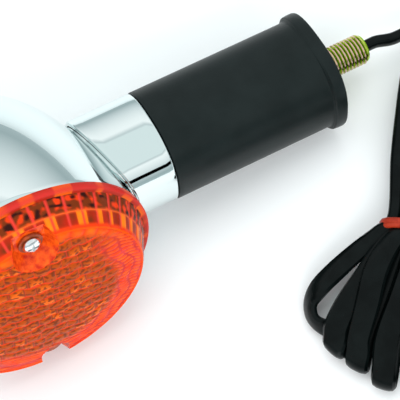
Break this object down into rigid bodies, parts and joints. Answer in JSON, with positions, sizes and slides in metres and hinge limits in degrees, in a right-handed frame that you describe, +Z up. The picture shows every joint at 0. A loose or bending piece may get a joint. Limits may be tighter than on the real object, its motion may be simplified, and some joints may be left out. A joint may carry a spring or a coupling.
{
  "type": "motorcycle turn signal indicator",
  "caption": "Round amber turn signal with a chromed bullet housing on a flexible oval rubber stem, hollow threaded stud and a bundled lead.",
  "frame": {"origin": "centre of the base of the box around the lamp without its lead, on the surface it lies on", "axes": "+Z up, as the lamp lies on a table on its lens rim, housing and flange edge; the stem points along +X and dips 9.8 degrees; the lens faces -Y, tipped up 7.9 degrees"},
  "size_m": [0.2316, 0.1514, 0.0793],
  "materials": {
    "chrome": "bright chrome plate",
    "amber": "moulded amber acrylic, glossy, prisms inside",
    "rubber": "satin black rubber",
    "gasket": "soft black foam rubber",
    "yellow_zinc": "yellow passivated zinc on steel",
    "steel": "clear zinc plate",
    "screw": "bright zinc plate",
    "reflector": "bright",
    "brass": "plain brass",
    "glass": "clear",
    "tungsten": "dark grey wire",
    "solder": "tinned",
    "fibre": "brown fibre board",
    "signal_vinyl": "orange vinyl",
    "ground_vinyl": "black vinyl",
    "lead_vinyl": "glossy black vinyl sleeve",
    "tie_vinyl": "red-orange vinyl"
  },
  "bodies": {
    "head": {"housing_shell": "chrome", "stem_collar": "chrome", "lens_gasket": "gasket", "stem_bolt": "steel", "stem_washer": "steel", "stem_nut": "steel", "reflector": "reflector", "socket_shell": "steel", "socket_screw_right": "screw", "socket_screw_left": "screw", "ground_terminal": "brass", "contact_spring": "steel", "signal_wire": "signal_vinyl", "ground_wire": "ground_vinyl"},
    "mount": {"stem_rubber": "rubber", "mounting_stud": "yellow_zinc", "lead_tube": "lead_vinyl", "lead_hank": "lead_vinyl", "hank_tie": "tie_vinyl", "lead_tail_signal": "signal_vinyl", "lead_tail_ground": "ground_vinyl", "bullet_signal": "brass", "bullet_ground": "brass"},
    "lens": {"lens": "amber", "lens_screw_washer_top": "gasket", "lens_screw_washer_bottom": "gasket"},
    "lens_screw_top": {"lens_screw_top": "screw"},
    "lens_screw_bottom": {"lens_screw_bottom": "screw"},
    "contact": {"contact_disc": "fibre", "contact_pin": "brass"},
    "bulb": {"bulb_cap": "brass", "bulb_glass": "glass", "bulb_filament": "tungsten", "bulb_contact": "solder"}
  },
  "joints": [
    {"name": "stem_flex", "type": "hinge", "parent": "mount", "child": "head", "pos_m": [0.03678, -0.00265, 0.02235], "axis": [-0.0238, 0.9901, -0.1381], "range_deg": [-20, 20], "stiffness_Nm_per_rad": 3, "deforming": ["stem_rubber", "signal_wire", "ground_wire"]},
    {"name": "lens_off", "type": "slide", "parent": "head", "child": "lens", "axis": [0.0238, -0.9901, 0.1381], "range_m": [0, 0.045]},
    {"name": "lens_screw_top_turn", "type": "hinge", "parent": "lens", "child": "lens_screw_top", "pos_m": [-0.03955, -0.02081, 0.06822], "axis": [-0.0238, 0.9901, -0.1381], "continuous": true},
    {"name": "lens_screw_bottom_turn", "type": "hinge", "parent": "lens", "child": "lens_screw_bottom", "pos_m": [-0.04942, -0.02904, 0.01085], "axis": [-0.0238, 0.9901, -0.1381], "continuous": true},
    {"name": "contact_push", "type": "slide", "parent": "head", "child": "contact", "axis": [-0.0238, 0.9901, -0.1381], "range_m": [0, 0.003], "stiffness_N_per_m": 2000, "springref_m": -0.003, "deforming": ["contact_spring"]},
    {"name": "bulb_twist", "type": "hinge", "parent": "contact", "child": "bulb", "pos_m": [-0.0454, 0.01319, 0.03422], "axis": [-0.0238, 0.9901, -0.1381], "range_deg": [0, 18]}
  ]
}
